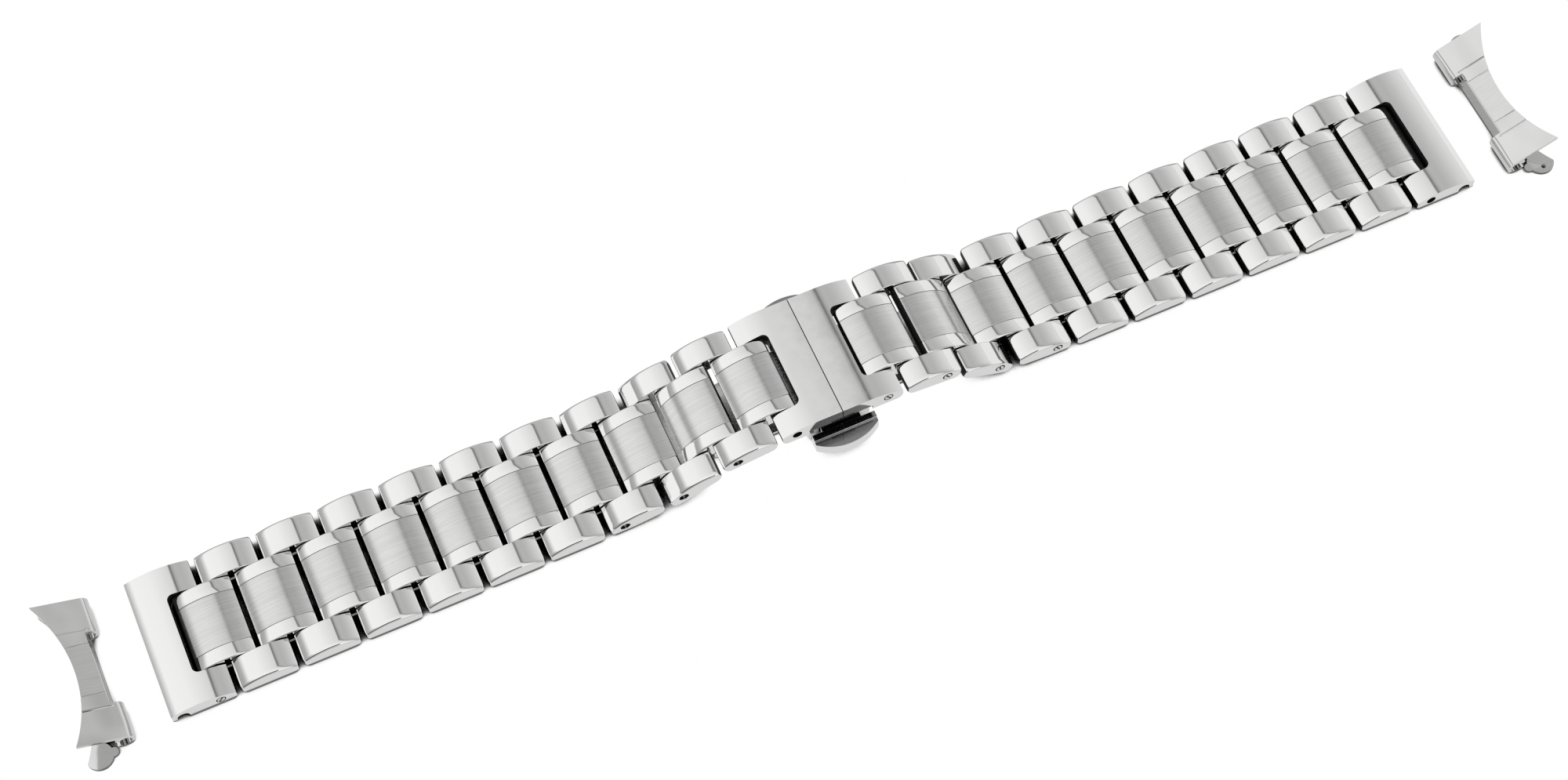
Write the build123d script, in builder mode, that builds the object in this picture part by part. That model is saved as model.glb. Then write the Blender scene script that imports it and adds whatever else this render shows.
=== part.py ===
from build123d import *
from math import asin, cos, degrees, radians, sin, tan
import os

# Link bracelet for a wrist watch, laid out over its closed butterfly clasp.
# X runs along the band, Y across it and Z up from the table. Both halves are the
# same pieces, turned half a turn about Z. All lengths are in millimetres.

# Band: driving sizes
lug_width = 20.0
band_width_watch = 19.4
band_width_clasp = 17.6
centre_width_watch = 11.0
centre_width_clasp = 10.6
block_width_watch = 7.1
block_width_clasp = 6.8
pitch = 8.2
link_gap = 0.7
link_thickness = 2.6
outer_pairs = 9
removable_pairs = 3

# Link outlines
outer_end_drop = 0.95
outer_foot_radius = 0.9
centre_end_drop = 0.95
centre_foot_radius = 0.6
brow_radius = 0.2

# Pins and running clearances
pin_offset = 2.35
pin_radius = 0.5
pin_play = 0.05
pin_seat_play = 0.01
side_play = 0.08
strip_seam = 0.04
blind_pin_depth = 2.2
sunk_pin_depth = 0.8
pin_slot_width = 0.2
pin_slot_depth = 0.3
pin_slot_turn = 35

# Lie of the band over the clasp: how far the clasp stands up, and the slope of each
# link after the first, outwards from the clasp. The first slope follows from these.
clasp_rise = 5.5
left_slopes = (21.5, 8.5, 1.5)
right_slopes = (26.0, 5.5, 2.0)

# End links of both kinds
end_link_play = 0.15
recess_end_play = 0.55
recess_corner_radius = 0.8

# Clasp end link
clasp_pin_reach = 6.25
seam_half_gap = 0.06
seam_drop = 0.06
arm_crest_reach = 3.6
undercut_length = 4.05
undercut_depth = 0.75
clasp_skin = 0.9
side_slot_length = 1.6
side_slot_radius = 0.34
side_slot_depth = 1.0
clasp_ear_thickness = 1.2

# Watch end link, with the open channel for the spring bar behind its lip
watch_link_reach = 8.7
watch_end_drop = 0.75
lip_thickness = 0.6
lip_foot_height = 0.4
bar_channel_radius = 0.8

# Base and blades of the clasp
base_reach = 15.0
base_thickness = 0.9
base_side_margin = 0.2
knuckle_radius = 1.1
knuckle_height = 1.2
knuckle_width = 5.0
blade_width = 8.6
blade_thickness = 0.8
blade_pin_reach = 1.3
blade_eye_radius = 0.85
blade_bend_radius = 0.9
blade_heel_set_in = 2.0
blade_heel_height = 1.75
blade_knee_set_in = 5.5
blade_knee_height = 3.05
blade_neck_height = 4.65
blade_neck_length = 2.1
blade_throat_reach = 3.1
fold_play = 0.1

# Catch: two legs under each blade, which drop into the box beside the slides
catch_reach = 2.6
leg_thickness = 0.8
leg_width = 1.0
leg_inner_reach = 3.2
leg_foot_height = 1.6
barb_length = 0.5
barb_height = 0.5
box_length = 8.4
box_width = 14.4
box_top = 4.1
box_wall = 0.6
swing_play = 0.55
slide_play = 0.05

# Push buttons and their spring
button_travel = 0.8
button_middle_height = 3.2
wing_thickness = 1.75
wing_length = 8.6
wing_reach = 11.4
wing_start = 8.6
wing_bow = 1.5
rib_height = 0.35
rib_width = 0.9
stem_width = 5.4
slide_width = 7.0
slide_thickness = 1.0
slide_bar_width = 0.9
spring_height = 2.5
spring_radius = 0.62
spring_wire = 0.25
spring_turns = 5

# Curved end piece
sheet_thickness = 0.45
bar_bore_radius = 0.85
end_piece_distance = 96.45
end_piece_depth = 5.3
end_piece_slope = 24.0
case_sagitta = 2.6
curl_inner_half = 5.1
curl_slit_angle = 60.0
tongue_set_back = 0.15
groove_places = (3.5, 5.5)
groove_width = 0.24
groove_depth = 0.14
plate_depth = 2.3
plate_half_width = 8.6
ear_radius = 1.75
ear_set_in = 3.6
ear_centre_reach = 10.15
lobe_radius = 0.6
lobe_set_in = 1.8
lobe_centre_reach = 10.3
ear_hole_radius = 0.3
ear_hole_offset = 0.8

# One overrun for every cut that has to pass right through
overrun = 1.0

os.makedirs("parts", exist_ok=True)

link_length = pitch - link_gap
pin_height = link_thickness / 2
sole, crown = -pin_height, pin_height
centre_links = outer_pairs + 1
centre_start = pin_offset - link_length / 2
blade_eye = (blade_pin_reach, clasp_rise + undercut_depth)
blade_throat = (blade_throat_reach, blade_neck_height)
blade_neck = (blade_throat_reach + blade_neck_length, blade_neck_height)
blade_knee = (base_reach - blade_knee_set_in, blade_knee_height)
blade_heel = (base_reach - blade_heel_set_in, blade_heel_height)
base_width = blade_width + 2 * base_side_margin
pocket_half = blade_width / 2 + side_play + fold_play
barb_tip_reach = leg_inner_reach - barb_length


def width_at(link, at_clasp, at_watch):
    """Width of a band feature at a link, counted outwards from the clasp."""
    return at_clasp + (at_watch - at_clasp) * link / outer_pairs


def turned_plane(side, reach, height, slope=0):
    """Plane for side outlines: x runs outwards along the band and y runs up."""
    lean = radians(slope)
    return Plane(
        origin=(side * reach, 0, height),
        x_dir=(side * cos(lean), 0, -sin(lean)),
        z_dir=(0, -side, 0),
    )


def link_planes(side, slopes):
    """Plane of each centre link at its inner pin, and the watch end's pin reach."""
    drop_left = clasp_rise - sum(pitch * sin(radians(slope)) for slope in slopes)
    lying_flat = [0] * (centre_links - 1 - len(slopes))
    reach, height, planes = clasp_pin_reach, clasp_rise + pin_height, []
    for slope in [degrees(asin(drop_left / pitch)), *slopes, *lying_flat]:
        planes.append(turned_plane(side, reach, height, slope))
        reach += pitch * cos(radians(slope))
        height -= pitch * sin(radians(slope))
    return planes, reach - pitch + 2 * pin_offset


def write(piece, name):
    """Label a finished piece and write it."""
    piece.label = name
    export_step(piece, f"parts/{name}.step")


def link_outline(start, end_drop, foot_radius):
    """Side outline of a link: a low arch over a flat sole with round feet."""
    end = start + link_length
    with BuildSketch() as outline:
        with BuildLine():
            arch = ThreePointArc(
                (start, crown - end_drop), ((start + end) / 2, crown), (end, crown - end_drop)
            )
            Polyline(arch @ 1, (end, sole), (start, sole), arch @ 0)
        make_face()
        fillet(outline.vertices().group_by(Axis.Y)[0], foot_radius)
        fillet(outline.vertices().group_by(Axis.Y)[-1], brow_radius)
    return outline.sketch


def round_outline(place, radius):
    """Round outline at a place on a side plane."""
    with BuildSketch() as outline:
        with Locations(place):
            Circle(radius)
    return outline.sketch


def cross_pin(plane, place, start, finish, slotted):
    """Pin across the band between two offsets, with a slot in its second end."""
    toward = 1 if finish > start else -1
    with BuildPart() as pin:
        with BuildSketch(plane.offset(start)):
            add(round_outline(place, pin_radius))
        extrude(amount=finish - start)
        if slotted:
            with BuildSketch(plane.offset(finish)):
                with Locations(place):
                    Rectangle(pin_slot_width, 2 * pin_radius + overrun, rotation=pin_slot_turn)
            extrude(amount=-toward * pin_slot_depth, mode=Mode.SUBTRACT)
    return pin.part


def make_centre_link(name, plane, link, far_pin_play):
    """Brushed block with a polished strip down each side, drilled for two pins."""
    block_half = width_at(link, block_width_clasp, block_width_watch) / 2
    centre_half = width_at(link, centre_width_clasp, centre_width_watch) / 2
    outline = link_outline(centre_start, centre_end_drop, centre_foot_radius)
    with BuildPart() as centre:
        with BuildSketch(plane):
            add(outline)
        extrude(amount=block_half - strip_seam / 2, both=True)
        for turn in (1, -1):
            with BuildSketch(plane.offset(turn * (block_half + strip_seam / 2))):
                add(outline)
            extrude(amount=turn * (centre_half - block_half - strip_seam / 2))
        with BuildSketch(plane):
            add(round_outline((0, 0), pin_radius + pin_play))
            add(round_outline((2 * pin_offset, 0), pin_radius + far_pin_play))
        extrude(amount=centre_half + overrun, both=True, mode=Mode.SUBTRACT)
    write(centre.part, name)


def make_outer_pair(name, plane, link):
    """Two polished outer links with the pin they hold and the pin they turn on."""
    outer_half = width_at(link + 1 / 2, band_width_clasp, band_width_watch) / 2
    inner_half = width_at(link + 1, centre_width_clasp, centre_width_watch) / 2 + side_play
    blind = inner_half + blind_pin_depth
    held, turning = (2 * pin_offset, 0), (pitch, 0)
    removable = link < removable_pairs
    outline = link_outline(pin_offset + link_gap / 2, outer_end_drop, outer_foot_radius)
    with BuildPart() as pair:
        for turn in (1, -1):
            with BuildSketch(plane.offset(turn * inner_half)):
                add(outline)
            extrude(amount=turn * (outer_half - inner_half))
        with BuildSketch(plane):
            add(round_outline(held, pin_radius + pin_seat_play))
        extrude(amount=blind, both=True, mode=Mode.SUBTRACT)
        with BuildSketch(plane):
            add(round_outline(turning, pin_radius + pin_seat_play))
        extrude(amount=outer_half + overrun if removable else blind, both=True, mode=Mode.SUBTRACT)
        add(cross_pin(plane, held, side_play - blind, blind - side_play, False))
        if removable:
            add(cross_pin(plane, turning, sunk_pin_depth - outer_half, outer_half, True))
        else:
            add(cross_pin(plane, turning, side_play - blind, blind - side_play, False))
    write(pair.part, name)


def recess(plane, start, end, half):
    """Cutter for the slot that takes a centre link, round in its inner corners."""
    outward = Plane(plane.origin, x_dir=plane.x_dir, z_dir=plane.y_dir)
    with BuildPart() as cutter:
        with BuildSketch(outward.offset(-link_thickness)) as mouth:
            with Locations(((start + end) / 2, 0)):
                Rectangle(abs(end - start), 2 * half)
            corners = mouth.vertices().sort_by(Axis.X)
            fillet(corners[2:] if end > start else corners[:2], recess_corner_radius)
        extrude(amount=2 * link_thickness)
    return cutter.part


def make_clasp_link(side, word):
    """U-shaped link between the band and the clasp blade, and its pin."""
    plane = turned_plane(side, 0, clasp_rise + pin_height)
    half = band_width_clasp / 2
    arm_end = clasp_pin_reach + pin_offset - link_gap / 2
    recess_start = clasp_pin_reach + centre_start - recess_end_play
    slot_half = centre_width_clasp / 2 + end_link_play
    under = sole + undercut_depth
    pin_place, eye_place = (clasp_pin_reach, 0), (blade_pin_reach, under)
    with BuildPart() as link:
        with BuildSketch(plane) as outline:
            with BuildLine():
                brow = TangentArc(
                    (arm_crest_reach, crown), (seam_half_gap, crown - seam_drop), tangent=(-1, 0)
                )
                arch = TangentArc(
                    (arm_crest_reach, crown), (arm_end, crown - outer_end_drop), tangent=(1, 0)
                )
                Polyline(
                    arch @ 1,
                    (arm_end, sole),
                    (undercut_length, sole),
                    (undercut_length, under),
                    (seam_half_gap, under),
                    brow @ 1,
                )
            make_face()
            foot, brow_end = outline.vertices().sort_by(Axis.X)[-2:].sort_by(Axis.Y)
            fillet(foot, outer_foot_radius)
            fillet(brow_end, brow_radius)
        extrude(amount=half, both=True)
        add(recess(plane, arm_end + overrun, recess_start, slot_half), mode=Mode.SUBTRACT)
        with BuildSketch(plane):
            with BuildLine():
                Polyline(
                    (-overrun, sole - overrun),
                    (recess_start + overrun, sole - overrun),
                    (recess_start + overrun, crown - clasp_skin),
                    (-overrun, crown - clasp_skin),
                    close=True,
                )
            make_face()
        extrude(amount=pocket_half, both=True, mode=Mode.SUBTRACT)
        for turn in (1, -1):
            with BuildSketch(plane.offset(turn * pocket_half)):
                add(round_outline(eye_place, blade_eye_radius))
            extrude(amount=turn * clasp_ear_thickness)
            with BuildSketch(plane.offset(turn * half)):
                with Locations((seam_half_gap, under)):
                    SlotOverall(2 * side_slot_length, 2 * side_slot_radius)
            extrude(amount=-turn * side_slot_depth, mode=Mode.SUBTRACT)
        with BuildSketch(plane):
            add(round_outline(eye_place, pin_radius + pin_play))
        extrude(amount=pocket_half + clasp_ear_thickness, both=True, mode=Mode.SUBTRACT)
        with BuildSketch(plane):
            add(round_outline(pin_place, pin_radius + pin_seat_play))
        extrude(amount=half + overrun, both=True, mode=Mode.SUBTRACT)
    write(link.part, f"{word}_clasp_link")
    write(cross_pin(plane, pin_place, sunk_pin_depth - half, half, True), f"{word}_clasp_link_pin")


def make_watch_link(side, word, reach):
    """U-shaped link at the watch with its lip and bar channel, and its pin."""
    plane = turned_plane(side, reach, pin_height)
    half = band_width_watch / 2
    slot_half = centre_width_watch / 2 + end_link_play
    arm_start = link_gap / 2 - pin_offset
    recess_end = link_length / 2 - pin_offset + recess_end_play
    end = watch_link_reach - pin_offset
    bar_place = (end - lip_thickness - bar_channel_radius, sole + bar_channel_radius)
    with BuildPart() as link:
        with BuildSketch(plane) as outline:
            with BuildLine():
                arch = ThreePointArc(
                    (arm_start, crown - outer_end_drop),
                    ((arm_start + end) / 2, crown),
                    (end, crown - watch_end_drop),
                )
                Polyline(arch @ 1, (end, sole), (arm_start, sole), arch @ 0)
            make_face()
            foot, brow_end = outline.vertices().sort_by(Axis.X)[:2].sort_by(Axis.Y)
            fillet(foot, outer_foot_radius)
            fillet(brow_end, brow_radius)
            fillet(outline.vertices().sort_by(Axis.X)[-2:].sort_by(Axis.Y)[-1], brow_radius)
        extrude(amount=half, both=True)
        with BuildSketch(plane):
            add(round_outline(bar_place, bar_channel_radius))
            with Locations((bar_place[0], sole)):
                Rectangle(2 * bar_channel_radius, 2 * bar_channel_radius)
            with Locations((end, sole)):
                Rectangle(2 * (lip_thickness + bar_channel_radius), 2 * lip_foot_height)
        extrude(amount=half + overrun, both=True, mode=Mode.SUBTRACT)
        add(recess(plane, arm_start - overrun, recess_end, slot_half), mode=Mode.SUBTRACT)
        with BuildSketch(plane):
            add(round_outline((0, 0), pin_radius + pin_seat_play))
        extrude(amount=half + overrun, both=True, mode=Mode.SUBTRACT)
    write(link.part, f"{word}_watch_link")
    write(cross_pin(plane, (0, 0), half - sunk_pin_depth, -half, True), f"{word}_watch_link_pin")


def make_blade(side, word):
    """Folding blade from the base hinge to the end link's hinge, and that pin."""
    plane = turned_plane(side, 0, 0)
    hinge = (base_reach, knuckle_height)
    with BuildPart() as blade:
        with BuildSketch(plane):
            with BuildLine():
                FilletPolyline(
                    hinge, blade_heel, blade_knee, blade_neck, blade_throat, blade_eye,
                    radius=blade_bend_radius,
                )
            trace(line_width=blade_thickness)
        extrude(amount=blade_width / 2, both=True)
        with BuildSketch(plane):
            add(round_outline(hinge, knuckle_radius + 2 * fold_play))
        extrude(amount=blade_width, both=True, mode=Mode.SUBTRACT)
        with BuildSketch(plane):
            add(round_outline(hinge, knuckle_radius))
            with BuildLine():
                Line(hinge, blade_heel)
            trace(line_width=blade_thickness)
        extrude(amount=knuckle_width / 2, both=True)
        with BuildSketch(plane):
            add(round_outline(blade_eye, blade_eye_radius))
        extrude(amount=blade_width / 2, both=True)
        with BuildSketch(plane):
            add(round_outline(hinge, pin_radius + pin_play))
            add(round_outline(blade_eye, pin_radius + pin_seat_play))
        extrude(amount=blade_width, both=True, mode=Mode.SUBTRACT)
    write(blade.part, f"{word}_blade")
    pin_half = pocket_half + clasp_ear_thickness - side_play
    write(cross_pin(plane, blade_eye, -pin_half, pin_half, False), f"{word}_blade_pin")


def make_catch(side, word):
    """Two barbed legs that hang from the blade's sloping neck into the catch box."""
    plane = turned_plane(side, 0, 0)
    inner, outer = catch_reach - leg_thickness / 2, catch_reach + leg_thickness / 2
    climb = (blade_eye[1] - blade_throat[1]) / (blade_throat[0] - blade_eye[0])
    under_throat = blade_throat[1] - blade_thickness / 2 * (1 + climb**2) ** 0.5
    with BuildPart() as catch:
        for turn in (1, -1):
            with BuildSketch(plane.offset(turn * leg_inner_reach)):
                with BuildLine():
                    Polyline(
                        (inner, leg_foot_height),
                        (outer, leg_foot_height),
                        (outer, under_throat + climb * (blade_throat[0] - outer)),
                        (inner, under_throat + climb * (blade_throat[0] - inner)),
                        close=True,
                    )
                make_face()
            extrude(amount=turn * leg_width)
            with BuildSketch(plane.offset(turn * barb_tip_reach)):
                with Locations((catch_reach, leg_foot_height + barb_height / 2)):
                    Rectangle(leg_thickness, barb_height)
            extrude(amount=turn * barb_length)
    write(catch.part, f"{word}_catch")


def make_base():
    """Base bar of the clasp with a fork at each end, and its two hinge pins."""
    with BuildPart() as base:
        with BuildSketch():
            Rectangle(2 * base_reach, base_width)
        extrude(amount=base_thickness)
        for side in (1, -1):
            plane = turned_plane(side, base_reach, knuckle_height)
            with BuildSketch(plane):
                Circle(knuckle_radius)
            extrude(amount=base_width / 2, both=True)
            with BuildSketch(plane):
                Rectangle(2 * (knuckle_radius + 2 * fold_play), 2 * base_reach)
            extrude(amount=knuckle_width / 2 + side_play, both=True, mode=Mode.SUBTRACT)
            with BuildSketch(plane):
                Circle(pin_radius + pin_seat_play)
            extrude(amount=base_width, both=True, mode=Mode.SUBTRACT)
    write(base.part, "clasp_base")
    with BuildPart() as pins:
        for side in (1, -1):
            plane = turned_plane(side, base_reach, knuckle_height)
            add(cross_pin(plane, (0, 0), -base_width / 2, base_width / 2, False))
    write(pins.part, "base_hinge_pins")


def make_catch_box():
    """Box on the base that guides both slides and lets the four legs in."""
    floor, ceiling = base_thickness + box_wall, box_top - box_wall
    with BuildPart() as box:
        with BuildSketch(Plane.XY.offset(base_thickness)):
            Rectangle(box_length, box_width)
        extrude(amount=box_top - base_thickness)
        with BuildSketch(Plane.XY.offset(floor)):
            Rectangle(box_length - 2 * box_wall, box_width - 2 * box_wall)
        extrude(amount=ceiling - floor, mode=Mode.SUBTRACT)
        with BuildSketch(Plane.XY.offset(floor)):
            Rectangle(stem_width + 2 * fold_play, box_width + overrun)
        extrude(amount=ceiling - floor, mode=Mode.SUBTRACT)
        slot_length = leg_width + barb_length + 2 * fold_play
        slot_middle = barb_tip_reach + (leg_width + barb_length) / 2
        with BuildSketch(Plane.XY.offset(ceiling)):
            with GridLocations(2 * catch_reach, 2 * slot_middle, 2, 2):
                Rectangle(leg_thickness + 2 * swing_play, slot_length)
        extrude(amount=box_top, mode=Mode.SUBTRACT)
    write(box.part, "catch_box")


def make_button(turn, name):
    """Push button: a crescent wing outside and a slide with two windows inside."""
    wing_end = wing_reach - wing_bow
    wing_top = button_middle_height + wing_thickness / 2
    slide_top = box_top - box_wall - fold_play
    slide_start = barb_tip_reach - slide_play - slide_bar_width
    slide_end = box_width / 2 - box_wall - slide_play
    window_start = barb_tip_reach - slide_play
    window_end = leg_inner_reach + leg_width + button_travel + fold_play
    with BuildPart() as button:
        with BuildSketch(Plane.XY.offset(wing_top - wing_thickness)):
            with BuildLine():
                bow = ThreePointArc(
                    (-wing_length / 2, turn * wing_end),
                    (0, turn * wing_reach),
                    (wing_length / 2, turn * wing_end),
                )
                Polyline(
                    bow @ 1,
                    (wing_length / 2, turn * wing_start),
                    (-wing_length / 2, turn * wing_start),
                    bow @ 0,
                )
            make_face()
        extrude(amount=wing_thickness)
        with BuildSketch(Plane.XY.offset(wing_top)):
            with Locations((0, turn * (wing_start + rib_width / 2))):
                Rectangle(wing_length, rib_width)
        extrude(amount=rib_height)
        with BuildSketch(Plane.XY.offset(slide_top - slide_thickness)):
            with Locations((0, turn * (slide_start + wing_start) / 2)):
                Rectangle(stem_width, wing_start - slide_start)
            with Locations((0, turn * (slide_start + slide_end) / 2)):
                Rectangle(slide_width, slide_end - slide_start)
            with Locations(
                (catch_reach, turn * (window_start + window_end) / 2),
                (-catch_reach, turn * (window_start + window_end) / 2),
            ):
                Rectangle(leg_thickness + 2 * swing_play, window_end - window_start, mode=Mode.SUBTRACT)
        extrude(amount=slide_thickness)
    write(button.part, name)


def make_spring():
    """Coil spring between the two slides, which holds both buttons out."""
    slide_start = barb_tip_reach - slide_play - slide_bar_width
    coil_half = slide_start - spring_wire
    with BuildPart() as spring:
        with BuildLine() as coil:
            Helix(
                pitch=2 * coil_half / spring_turns,
                height=2 * coil_half,
                radius=spring_radius,
                center=(0, -coil_half, spring_height),
                direction=(0, 1, 0),
            )
        with BuildSketch(Plane(coil.line @ 0, z_dir=coil.line % 0)):
            Circle(spring_wire / 2)
        sweep(is_frenet=True)
    write(spring.part, "button_spring")


def make_end_piece(side, name):
    """Folded sheet end piece: a rolled tube at each side, a grooved top that
    rises to the watch case, and an eared plate below."""
    outer_radius = bar_bore_radius + sheet_thickness
    plane = turned_plane(side, end_piece_distance, outer_radius)
    half = lug_width / 2
    lean = radians(end_piece_slope)
    rise = tan(lean)

    def top_sheet(depth, end):
        """Outline of the sloping top down to a depth, from the tube to an end."""
        level, start = outer_radius / cos(lean), -outer_radius * sin(lean)
        below = level - depth / cos(lean)
        with BuildSketch() as outline:
            with BuildLine():
                Polyline(
                    (start, level + start * rise),
                    (end, level + end * rise),
                    (end, below + end * rise),
                    (start, below + start * rise),
                    close=True,
                )
            make_face()
        return outline.sketch

    case_radius = (half**2 + case_sagitta**2) / (2 * case_sagitta)
    slit_reach = outer_radius + groove_depth
    slit_half = slit_reach * tan(radians(curl_slit_angle / 2))
    flat = Plane(origin=(side * end_piece_distance, 0, 0), x_dir=(side, 0, 0), z_dir=(0, 0, 1))
    with BuildPart() as piece:
        with BuildSketch(plane):
            add(top_sheet(sheet_thickness, end_piece_depth))
        extrude(amount=half, both=True)
        for place in groove_places:
            for turn in (1, -1):
                with BuildSketch(plane.offset(turn * place - groove_width / 2)):
                    add(top_sheet(groove_depth, end_piece_depth))
                extrude(amount=groove_width, mode=Mode.SUBTRACT)
        with BuildSketch(plane):
            with Locations((tongue_set_back - outer_radius, 0)):
                Rectangle(2 * outer_radius, 4 * outer_radius)
        extrude(amount=curl_inner_half, both=True, mode=Mode.SUBTRACT)
        with BuildSketch(flat):
            with Locations((end_piece_depth - case_sagitta + case_radius, 0)):
                Circle(case_radius)
        extrude(amount=lug_width, mode=Mode.SUBTRACT)
        for turn in (1, -1):
            with BuildSketch(plane.offset(turn * curl_inner_half)):
                Circle(outer_radius)
            extrude(amount=turn * (half - curl_inner_half))
        with BuildSketch(plane):
            Circle(bar_bore_radius)
            with BuildLine():
                Polyline((0, 0), (slit_reach, slit_half), (slit_reach, -slit_half), close=True)
            make_face()
        extrude(amount=half + overrun, both=True, mode=Mode.SUBTRACT)
        with BuildSketch(flat):
            Rectangle(ear_set_in + ear_radius, 2 * plate_half_width, align=(Align.MIN, Align.CENTER))
            with Locations((ear_set_in, ear_centre_reach), (ear_set_in, -ear_centre_reach)):
                Circle(ear_radius)
            with Locations((lobe_set_in, lobe_centre_reach), (lobe_set_in, -lobe_centre_reach)):
                Circle(lobe_radius)
            with Locations((plate_depth + case_radius, 0)):
                Circle(case_radius, mode=Mode.SUBTRACT)
            with Locations((ear_set_in, -ear_centre_reach - ear_hole_offset)):
                Circle(ear_hole_radius, mode=Mode.SUBTRACT)
        extrude(amount=sheet_thickness)
    write(piece.part, name)


for side, word, slopes in ((-1, "left", left_slopes), (1, "right", right_slopes)):
    planes, watch_pin_reach = link_planes(side, slopes)
    for link, plane in enumerate(planes):
        far_play = pin_play if link == outer_pairs else pin_seat_play
        make_centre_link(f"{word}_centre_link_{link + 1}", plane, link, far_play)
        if link < outer_pairs:
            make_outer_pair(f"{word}_outer_links_{link + 1}", plane, link)
    make_clasp_link(side, word)
    make_watch_link(side, word, watch_pin_reach)
    make_blade(side, word)
    make_catch(side, word)
    make_end_piece(side, f"{word}_end_piece")
make_base()
make_catch_box()
make_button(-1, "near_button")
make_button(1, "far_button")
make_spring()
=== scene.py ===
from math import asin, cos, degrees, pi, radians, sin

import bmesh
import bpy
from mathutils import Matrix, Vector


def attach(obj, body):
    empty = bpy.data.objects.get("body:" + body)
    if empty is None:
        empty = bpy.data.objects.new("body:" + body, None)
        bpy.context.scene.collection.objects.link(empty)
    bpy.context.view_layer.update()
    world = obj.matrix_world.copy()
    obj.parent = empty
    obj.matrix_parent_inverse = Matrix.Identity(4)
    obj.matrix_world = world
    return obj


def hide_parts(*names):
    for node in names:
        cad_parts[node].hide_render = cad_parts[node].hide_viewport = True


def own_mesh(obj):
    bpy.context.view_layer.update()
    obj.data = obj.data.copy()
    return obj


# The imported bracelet, and its box before anything is dressed
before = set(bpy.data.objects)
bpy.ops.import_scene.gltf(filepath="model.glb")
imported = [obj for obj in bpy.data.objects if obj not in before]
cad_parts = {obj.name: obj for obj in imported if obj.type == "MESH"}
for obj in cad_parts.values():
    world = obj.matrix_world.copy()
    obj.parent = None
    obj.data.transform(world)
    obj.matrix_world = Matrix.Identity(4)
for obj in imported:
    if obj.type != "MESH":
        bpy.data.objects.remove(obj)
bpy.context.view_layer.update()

# One millimetre in the metres of the shared frame
MM = 0.001

# Sizes of the band in millimetres and slopes of its links in degrees, as it is constructed
PITCH = 8.2
LINK_GAP = 0.7
LINK_LENGTH = PITCH - LINK_GAP
PIN_OFFSET = 2.35
PIN_RADIUS = 0.5
CROWN = 1.3
SOLE = -CROWN
OUTER_PAIRS = 9
REMOVABLE_PAIRS = 3
SIDE_PLAY = 0.08
BLIND_PIN_DEPTH = 2.2
SUNK_PIN_DEPTH = 0.8
STRIP_SEAM = 0.04
BAND_WIDTH = (17.6, 19.4)
CENTRE_WIDTH = (10.6, 11.0)
BLOCK_WIDTH = (6.8, 7.1)
OUTER_END_DROP, OUTER_FOOT_RADIUS = 0.95, 0.9
CENTRE_END_DROP, CENTRE_FOOT_RADIUS = 0.95, 0.6
END_LINK_PLAY, RECESS_END_PLAY, RECESS_CORNER_RADIUS = 0.15, 0.55, 0.8
SEAM_HALF_GAP, SEAM_DROP, ARM_CREST_REACH = 0.06, 0.006, 3.6
UNDERCUT_LENGTH, UNDERCUT_DEPTH, CLASP_SKIN = 4.05, 0.75, 0.9
SIDE_SLOT_LENGTH, SIDE_SLOT_RADIUS, SIDE_SLOT_DEPTH = 1.6, 0.34, 1.0
BLADE_PIN_REACH, BLADE_EYE_RADIUS, EAR_THICKNESS = 1.3, 0.85, 1.2
POCKET_HALF = 4.48
WATCH_LINK_REACH, WATCH_END_DROP = 8.7, 0.75
LIP_THICKNESS, LIP_FOOT_HEIGHT, CHANNEL_RADIUS = 0.6, 0.4, 0.8
SPRING_HEIGHT, SPRING_RADIUS, SPRING_WIRE = 2.5, 0.62, 0.25
SPRING_HALF, SPRING_TURNS = 1.5, 5
END_PIECE_MIDDLE = 3.5
CLASP_RISE = 5.5
CLASP_PIN_REACH = 6.25
SLOPES = {"left": (21.5, 8.5, 1.5), "right": (26.0, 5.5, 2.0)}
SIDES = {"left": -1, "right": 1}

# Sizes in millimetres that only the dressed pieces have
PIN_RING, EYE_PLAY = 0.14, 0.05
SCREW_SLOT_WIDTH, SCREW_SLOT_DEPTH = 0.24, 0.3
POCKET_OVERLAP, CUT_PAST = 0.5, 1.0
BLOCK_EDGE, STRIP_EDGE, OUTER_EDGE, END_LINK_EDGE = 0.05, 0.07, 0.1, 0.28
PIN_EDGE, FINE_EDGE, BUTTON_EDGE, SHEET_EDGE = 0.04, 0.05, 0.07, 0.08
BOX_EDGE, BLADE_EDGE = 0.06, 0.08
INNER_MARGIN, WALL_MARGIN = 0.2, 0.1
WELD_GAP, MERGE_GAP, SAME_PLACE = 0.001, 0.0005, 1e-6

# Rolled edges: how far each ring lies behind a link's side, and how much it is drawn in there
LINK_ROLL = (
    (0.7, 0), (0.5, 0.009), (0.36, 0.024), (0.25, 0.046), (0.17, 0.072), (0.1, 0.108), (0.05, 0.15),
    (0.015, 0.2), (0, 0.24),
)
STRIP_ROLL = ((0.3, 0), (0.18, 0.01), (0.1, 0.026), (0.04, 0.052), (0, 0.1))

# How round the ends of the side slots are, and how much of the pressed spring's length is left
SLOT_ROUNDING, SPRING_PRESSED = 0.98, 0.56

# Steps of the round shapes
ARCH_STEPS, SEAM_STEPS, ARM_STEPS, WATCH_TOP_STEPS = 28, 8, 16, 30
CORNER_STEPS, SLOT_END_STEPS, ROD_STEPS, CHANNEL_STEPS = 8, 6, 32, 40
WIRE_STEPS, SPRING_STEPS = 12, 60
EDGE_STEPS, OUTER_EDGE_STEPS, END_LINK_EDGE_STEPS = 3, 4, 6

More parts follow.
